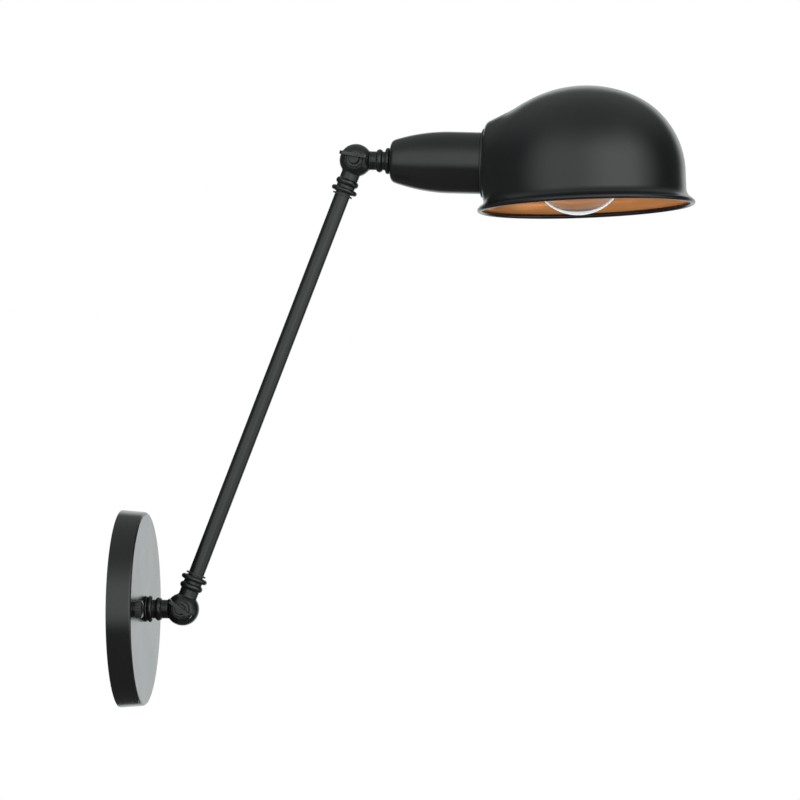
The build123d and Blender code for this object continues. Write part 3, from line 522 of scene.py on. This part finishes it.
spinning_line, fine_line = 0.0011, 0.0003
outer_coat = Finish(bpy.data.materials.new("shade_black"))
place = outer_coat.place()
drift = outer_coat.noise(place, drift_size, 3.0)
peel = outer_coat.noise(place, 0.0015, 2.0)
marks = outer_coat.rings(outer_coat.part(place, shade_up), spinning_line)
shade_black = outer_coat.close(outer_coat.surface(
    Base_Color=outer_coat.mix(drift, paint_dark, paint_light), Roughness=drift * 0.08 + 0.22, IOR=1.5,
    Normal=outer_coat.bump(peel + marks * 0.3, paint_relief)))

copper_dark = (0.90, 0.34, 0.10, 1)
copper_light = (0.96, 0.42, 0.14, 1)
worn_size, copper_relief = 0.012, 0.00002
inner_coat = Finish(bpy.data.materials.new("shade_copper"))
place = inner_coat.place()
worn = inner_coat.noise(place, worn_size, 4.0)
marks = inner_coat.rings(inner_coat.part(place, shade_up), spinning_line)
fine_marks = inner_coat.rings(inner_coat.part(place, shade_up), fine_line)
shade_copper = inner_coat.close(inner_coat.surface(
    Base_Color=inner_coat.mix(worn, copper_dark, copper_light), Metallic=0.4,
    Roughness=worn * 0.12 + 0.24, Normal=inner_coat.bump(marks + fine_marks * 0.5, copper_relief)))

shade_points, shade_ways, shade_faces, shade_coats = spun_shade()
shade_mesh = bpy.data.meshes.new("spun_shade")
shade_mesh.from_pydata(shade_points.tolist(), [], shade_faces)
shade_mesh.polygons.foreach_set("use_smooth", np.ones(len(shade_faces), bool))
shade_mesh.materials.append(shade_black)
shade_mesh.materials.append(shade_copper)
shade_mesh.polygons.foreach_set("material_index", shade_coats.astype(np.int32))
shade_mesh.update()
shade_mesh.normals_split_custom_set_from_vertices(shade_ways.tolist())
shade = bpy.data.objects.new("spun_shade", shade_mesh)
bpy.context.scene.collection.objects.link(shade)
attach(shade, "head")
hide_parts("shade")


# Bulb glass and mount: the envelope is blown clear glass with a thin wall and very slight waves, and the
# mount inside it is pressed from glass rod. Light and shadows pass through both.
glass_clear = (0.985, 0.992, 0.99, 1)
glass_tinted = (0.97, 0.98, 0.975, 1)
glass_shadow = (0.95, 0.96, 0.955, 1)


def glassware(name, waves, depth):
    """Clear glass with waves of a size and depth in metres."""
    glass = Finish(bpy.data.materials.new(name))
    ripple = glass.noise(glass.place(), waves, 1.0)
    clear = glass.surface(Base_Color=glass.mix(ripple, glass_clear, glass_tinted), Roughness=0.0, IOR=1.5,
                          Transmission_Weight=1.0, Normal=glass.bump(ripple, depth))
    passing = glass.node("ShaderNodeBsdfTransparent", {}, {"Color": glass_shadow})
    return glass.close(glass.node("ShaderNodeMixShader", {}, [glass.ray("Is Shadow Ray"), clear, passing]))


dress(glassware("mount_glass", 0.003, 0.00005), "bulb_mount")

# Bulb, in metres from the upper ball along the head's axis, and out of it
upper_pivot = Vector((0.141098, 0, 0.273250))
ball_centre, ball_radius, glass_wall = 0.1351, 0.030, 0.0005
glass_neck_radius, glass_neck_start, glass_foot = 0.0126, 0.0900, 0.0806
ball_rows, curve_rows, neck_rows = 90, 40, 12
glass_columns = 128


def head_place(along, aside, across):
    """Points of the head from arrays: along its axis, aside in the arm's plane, and across it, in metres."""
    return (np.array(upper_pivot) + along[..., None] * np.array(head_axis)
            + aside[..., None] * np.array((-head_axis.z, 0, head_axis.x))
            + across[..., None] * np.array((0, -1, 0)))


def head_piece(name, points, faces, material, slot, replaced):
    """A smooth piece that rides on the head and stands for a node."""
    mesh = bpy.data.meshes.new(name)
    mesh.from_pydata(points.reshape(-1, 3).tolist(), [], faces)
    mesh.polygons.foreach_set("use_smooth", np.ones(len(faces), bool))
    mesh.materials.append(material)
    piece = bpy.data.objects.new(name, mesh)
    bpy.context.scene.collection.objects.link(piece)
    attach(piece, "head")
    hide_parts(replaced)


def bulb_skin(inset):
    """Distances along and out of the glass at an inset, from its tip: a ball, a hollow curve that touches
    both ball and neck, and the straight neck. The curve's radius follows from the three."""
    curve = (((ball_centre - glass_neck_start) ** 2 + glass_neck_radius ** 2 - ball_radius ** 2)
             / (2 * (ball_radius - glass_neck_radius)))
    lean = np.arctan2(glass_neck_radius + curve, glass_neck_start - ball_centre)
    on_ball = np.linspace(0, lean, ball_rows)
    on_curve = np.linspace(lean + pi, 3 * pi / 2, curve_rows)[1:]
    on_neck = np.linspace(glass_neck_start, glass_foot, neck_rows)[1:]
    along = np.concatenate([ball_centre + (ball_radius - inset) * np.cos(on_ball),
                            glass_neck_start + (curve + inset) * np.cos(on_curve), on_neck])
    away = np.concatenate([(ball_radius - inset) * np.sin(on_ball),
                           glass_neck_radius + curve + (curve + inset) * np.sin(on_curve),
                           np.full(neck_rows - 1, glass_neck_radius - inset)])
    return along, away


def blown_glass():
    """The glass as one skin, turned about the head's axis: outside from the tip to the foot, then the
    inside back. Both tips are closed with a fan."""
    along, away = (np.concatenate([outer, inner[::-1]])
                   for outer, inner in zip(bulb_skin(0.0), bulb_skin(glass_wall)))
    angle = np.linspace(0, 2 * pi, glass_columns, endpoint=False)
    turned = slice(1, len(along) - 1)
    points = head_place(along[turned, None] + 0 * angle, away[turned, None] * np.cos(angle),
                        away[turned, None] * np.sin(angle))
    tips = head_place(along[[0, -1]], np.zeros(2), np.zeros(2))
    rows, columns = points.shape[:2]
    outer_tip, inner_tip = rows * columns, rows * columns + 1
    here = np.arange(rows * columns).reshape(rows, columns)
    beside = np.roll(here, -1, 1)
    faces = np.stack([here[:-1], here[1:], beside[1:], beside[:-1]], -1).reshape(-1, 4).tolist()
    faces += [[outer_tip, int(here[0, j]), int(beside[0, j])] for j in range(columns)]
    faces += [[inner_tip, int(beside[-1, j]), int(here[-1, j])] for j in range(columns)]
    return np.concatenate([points.reshape(-1, 3), tips]), faces


bulb_glass = glassware("bulb_glass", 0.02, 0.00001)
head_piece("blown_glass", *blown_glass(), bulb_glass, "clear_glass", "bulb_glass")


# Bulb cap: thin nickel-plated brass with a pressed thread, cemented on the glass neck, and the holder's
# thread of the same metal. Bright, with fine drawing lines and a light, patchy tarnish.
nickel_bright = (0.80, 0.79, 0.76, 1)
nickel_dull = (0.60, 0.58, 0.53, 1)
tarnish_size, drawing_line, nickel_relief = 0.003, 0.00018, 0.000008
pressed = Finish(bpy.data.materials.new("pressed_bright"))
place = pressed.place()
tarnish = pressed.noise(place, tarnish_size, 4.0)
lines = pressed.rings(pressed.part(place, head_axis), drawing_line)
pressed_bright = pressed.close(pressed.surface(
    Base_Color=pressed.mix(tarnish.smooth(0.4, 0.8), nickel_bright, nickel_dull), Metallic=1.0,
    Roughness=tarnish * 0.2 + 0.12, Normal=pressed.bump(lines, nickel_relief)))
dress(pressed_bright, "holder_thread")

# Cap, in metres: where it starts and ends along the head's axis, its size, its thread and its plain end
cap_start, cap_end = 0.0644, 0.0851
cap_foot, cap_radius, cap_wall, cap_bend = 0.011, 0.0131, 0.00035, 0.0016
thread_pitch, thread_depth, thread_fade, plain_end = 0.00363, 0.0006, 0.0015, 0.004
cap_rows, cap_columns = 110, 96


def threaded_cap():
    """A turned sleeve, thin-walled, whose radius rises and falls by a wave that winds round it once per
    pitch. The wave fades out at both ends, where the cap is plain."""
    outer_along = np.concatenate([[cap_start], np.linspace(cap_start + cap_bend, cap_end, cap_rows)])
    outer_radius = np.concatenate([[cap_foot], np.full(cap_rows, cap_radius)])
    inner_along = outer_along[::-1].copy()
    inner_along[-1] = cap_start + cap_wall
    inner_radius = outer_radius[::-1] - cap_wall
    along = np.concatenate([outer_along, inner_along])[:, None]
    distance = np.concatenate([outer_radius, inner_radius])[:, None]
    angle = np.linspace(0, 2 * pi, cap_columns, endpoint=False)[None, :]
    fade = np.clip((along - cap_start - cap_bend) / thread_fade, 0, 1)
    fade = fade * np.clip((cap_end - plain_end - along) / thread_fade, 0, 1)
    wave = 0.5 - 0.5 * np.cos(2 * pi * (along - cap_start) / thread_pitch - angle)
    distance = distance - thread_depth * wave * fade
    points = head_place(along + 0 * angle, distance * np.cos(angle), distance * np.sin(angle))
    here = np.arange(points.shape[0] * points.shape[1]).reshape(points.shape[:2])
    beside = np.roll(here, -1, 1)
    faces = np.stack([here, beside, np.roll(beside, -1, 0), np.roll(here, -1, 0)], -1)
    return points, faces.reshape(-1, 4).tolist()


head_piece("threaded_cap", *threaded_cap(), pressed_bright, "thread_metal", "bulb_cap")


# Bulb foot: the black glass insulator is fused into the cap, glossy and faintly streaked. The contact is a
# button of solder over the wire's end, a little lumpy.
foot_black = (0.006, 0.006, 0.008, 1)
foot_streak = (0.02, 0.018, 0.024, 1)
streak_size, foot_relief = 0.003, 0.0001
black_glass = Finish(bpy.data.materials.new("black_glass"))
flow = black_glass.noise(black_glass.place(), streak_size, 3.0)
dress(black_glass.close(black_glass.surface(
    Base_Color=black_glass.mix(flow, foot_black, foot_streak), Roughness=flow * 0.06 + 0.04, IOR=1.55,
    Normal=black_glass.bump(flow, foot_relief))), "bulb_insulator")

solder_grey = (0.50, 0.50, 0.51, 1)
solder_bright = (0.68, 0.68, 0.69, 1)
lump_size, lump_depth = 0.0016, 0.0002
solder = Finish(bpy.data.materials.new("solder_button"))
flow = solder.noise(solder.place(), lump_size, 4.0)
dress(solder.close(solder.surface(
    Base_Color=solder.mix(flow, solder_grey, solder_bright), Metallic=1.0, Roughness=flow * 0.3 + 0.2,
    Normal=solder.bump(flow, lump_depth))), "bulb_contact")


# Filament and its wires: two drawn wires stand in the glass mount and hold a tungsten wire wound to a fine
# coil, which bows forward between them.
wire_dark = (0.24, 0.24, 0.25, 1)
wire_light = (0.42, 0.41, 0.40, 1)
drawn_size, wire_relief = 0.0006, 0.00002
tungsten = Finish(bpy.data.materials.new("tungsten_wire"))
drawn = tungsten.noise(tungsten.place(), drawn_size, 3.0)
tungsten_wire = tungsten.close(tungsten.surface(
    Base_Color=tungsten.mix(drawn, wire_dark, wire_light), Metallic=1.0, Roughness=drawn * 0.2 + 0.25,
    Normal=tungsten.bump(drawn, wire_relief)))
dress(tungsten_wire, "bulb_wires")

# Filament, in metres: where its ends stand along the head's axis, half its span, its bow, the radius of the
# winding and that of the wire
filament_reach, half_span, bow = 0.12865, 0.013, 0.005
winding_radius, wire_radius = 0.00024, 0.00007
winding_turns, steps_per_turn, wire_sides = 62, 12, 6


def coiled_filament():
    """A thin round wire wound round a bow: the bow is part of a circle, the winding turns about it at a
    steady rate, and the wire's own section turns about the winding. Both ends are flat and closed."""
    bow_radius = (half_span ** 2 + bow ** 2) / (2 * bow)
    most = np.arcsin(half_span / bow_radius)
    steps = np.linspace(0, 1, winding_turns * steps_per_turn + 1)
    turn = (steps * 2 - 1) * most
    middle = np.stack([filament_reach + bow - bow_radius + bow_radius * np.cos(turn), 0 * turn,
                       bow_radius * np.sin(turn)], -1)
    away = np.stack([np.cos(turn), 0 * turn, np.sin(turn)], -1)
    aside = np.stack([0 * turn, np.ones_like(turn), 0 * turn], -1)
    phase = (steps * winding_turns * 2 * pi)[:, None]
    spoke = away * np.cos(phase) + aside * np.sin(phase)
    line = middle + winding_radius * spoke
    run = np.gradient(line, axis=0)
    run /= np.linalg.norm(run, axis=1)[:, None]
    side = np.cross(run, spoke)
    section = np.linspace(0, 2 * pi, wire_sides, endpoint=False)[None, :, None]
    points = line[:, None] + wire_radius * (spoke[:, None] * np.cos(section)
                                            + side[:, None] * np.sin(section))
    here = np.arange(points.shape[0] * points.shape[1]).reshape(points.shape[:2])
    beside = np.roll(here, -1, 1)
    sides = np.stack([here[:-1], beside[:-1], beside[1:], here[1:]], -1).reshape(-1, 4).tolist()
    ends = [here[0, ::-1].tolist(), here[-1].tolist()]
    return head_place(points[..., 0], points[..., 1], points[..., 2]), sides + ends


head_piece("coiled_filament", *coiled_filament(), tungsten_wire, "filament_metal", "bulb_filament")
